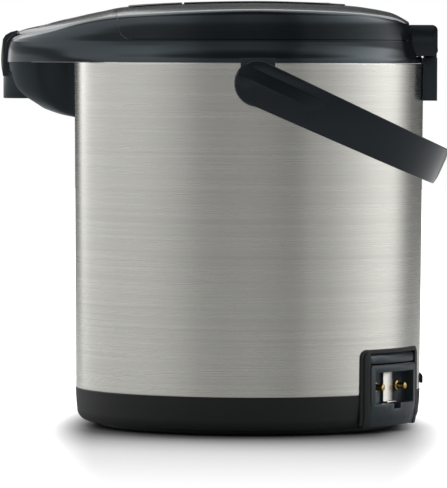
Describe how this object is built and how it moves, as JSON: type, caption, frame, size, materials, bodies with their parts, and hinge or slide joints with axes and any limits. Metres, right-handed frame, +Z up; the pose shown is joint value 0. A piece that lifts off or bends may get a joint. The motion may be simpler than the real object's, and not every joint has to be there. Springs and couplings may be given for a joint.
{
  "type": "electric thermo pot",
  "caption": "Electric thermo pot: steel body on a swivel base, spout head with keys, hinged lid with lever and latch, swinging carrying handle and a rear power inlet.",
  "frame": {"origin": "on the floor under the body's axis, at the middle of the rest plane", "axes": "+Z up, -X towards the spout, +X towards the lid hinge, +Y completes a right-handed frame"},
  "size_m": [0.2823, 0.2448, 0.2691],
  "materials": {
    "shell_steel": "brushed, horizontal grain",
    "inner_steel": "satin",
    "pin_steel": "plain",
    "gloss_black": "polished",
    "satin_black": "satin",
    "matte_black": "fine grain",
    "panel_gloss": "polished, clear coated",
    "key_plastic": "satin",
    "window": "clear",
    "board": "solder mask",
    "white_plastic": "satin",
    "red_plastic": "gloss",
    "silicone": "matte",
    "felt": "matte",
    "motor_can": "zinc plated",
    "heater_mica": "matte",
    "keeper_steel": "plated",
    "brass": "polished",
    "pad_rubber": "matte"
  },
  "bodies": {
    "pot": {"outer_shell": "shell_steel", "base_skirt": "satin_black", "bottom_plate": "matte_black", "bottom_screws": "pin_steel", "upper_cover": "gloss_black", "spout_cover": "gloss_black", "nose_band": "gloss_black", "control_panel": "panel_gloss", "display_window": "window", "control_board": "board", "outlet_pipe": "white_plastic", "gauge_tube": "window", "gauge_window": "window", "inner_tank": "inner_steel", "tank_floor": "inner_steel", "insulation_jacket": "felt", "heater_plate": "heater_mica", "thermostat": "white_plastic", "tank_drain_hose": "silicone", "pump_housing": "white_plastic", "pump_motor": "motor_can", "pump_outlet_hose": "silicone", "power_board": "board", "inlet_frame": "matte_black", "inlet_bezel": "satin_black", "inlet_cap": "satin_black", "keeper_plate": "keeper_steel", "power_pins": "brass", "rear_stop": "matte_black", "hinge_bracket": "satin_black", "hinge_pin": "pin_steel", "handle_lugs": "satin_black"},
    "lid": {"lid_shell": "gloss_black", "lid_base": "satin_black", "inner_lid": "inner_steel", "lid_gasket": "silicone", "top_plate": "gloss_black", "steam_vent_cap": "satin_black", "hinge_block": "gloss_black", "lever_pin": "pin_steel"},
    "lever": {"lid_lever": "gloss_black"},
    "latch": {"latch_hook": "matte_black"},
    "carry_handle": {"handle": "satin_black"},
    "swivel_base": {"turntable": "matte_black", "swivel_clip": "pin_steel", "foot_pads": "pad_rubber"},
    "pump_rotor": {"impeller": "white_plastic"},
    "level_float": {"gauge_float": "red_plastic"},
    "key_dispense_cap": {"key_dispense": "key_plastic"},
    "key_unlock_cap": {"key_unlock": "key_plastic"},
    "key_reboil_cap": {"key_reboil": "key_plastic"},
    "key_timer_cap": {"key_timer": "key_plastic"},
    "key_select_cap": {"key_select": "key_plastic"}
  },
  "joints": [
    {"name": "lid_hinge", "type": "hinge", "parent": "pot", "child": "lid", "pos_m": [0.1147, 0, 0.2385], "axis": [0, 1, 0], "range_deg": [0, 85]},
    {"name": "lever_hinge", "type": "hinge", "parent": "lid", "child": "lever", "pos_m": [-0.0438, 0, 0.265], "axis": [0, 1, 0], "range_deg": [0, 30], "stiffness_Nm_per_rad": 0.03, "springref_deg": -20.05},
    {"name": "latch_slide", "type": "slide", "parent": "lid", "child": "latch", "axis": [1, 0, 0], "range_m": [0, 0.0035]},
    {"name": "handle_swing", "type": "hinge", "parent": "pot", "child": "carry_handle", "pos_m": [0.0055, 0, 0.2175], "axis": [0, -1, 0], "range_deg": [0, 115]},
    {"name": "base_swivel", "type": "hinge", "parent": "pot", "child": "swivel_base", "pos_m": [0, 0, 0.005], "axis": [0, 0, 1], "continuous": true},
    {"name": "impeller_spin", "type": "hinge", "parent": "pot", "child": "pump_rotor", "pos_m": [-0.06, 0, 0.03], "axis": [0, 0, 1], "continuous": true},
    {"name": "float_rise", "type": "slide", "parent": "pot", "child": "level_float", "axis": [0, 0, 1], "range_m": [0, 0.118]},
    {"name": "key_dispense_press", "type": "slide", "parent": "pot", "child": "key_dispense_cap", "axis": [0.2425, 0, -0.9702], "range_m": [0, 0.0008], "stiffness_N_per_m": 400, "springref_m": -0.001},
    {"name": "key_unlock_press", "type": "slide", "parent": "pot", "child": "key_unlock_cap", "axis": [0.257, -0.0955, -0.9617], "range_m": [0, 0.0008], "stiffness_N_per_m": 400, "springref_m": -0.001},
    {"name": "key_reboil_press", "type": "slide", "parent": "pot", "child": "key_reboil_cap", "axis": [0.257, 0.0955, -0.9617], "range_m": [0, 0.0008], "stiffness_N_per_m": 400, "springref_m": -0.001},
    {"name": "key_timer_press", "type": "slide", "parent": "pot", "child": "key_timer_cap", "axis": [0.2472, -0.0564, -0.9673], "range_m": [0, 0.0008], "stiffness_N_per_m": 400, "springref_m": -0.001},
    {"name": "key_select_press", "type": "slide", "parent": "pot", "child": "key_select_cap", "axis": [0.2472, 0.0564, -0.9673], "range_m": [0, 0.0008], "stiffness_N_per_m": 400, "springref_m": -0.001}
  ],
  "couplings": [
    {"joint": "latch_slide", "follows": "lever_hinge", "m_per_rad": 0.00668}
  ]
}
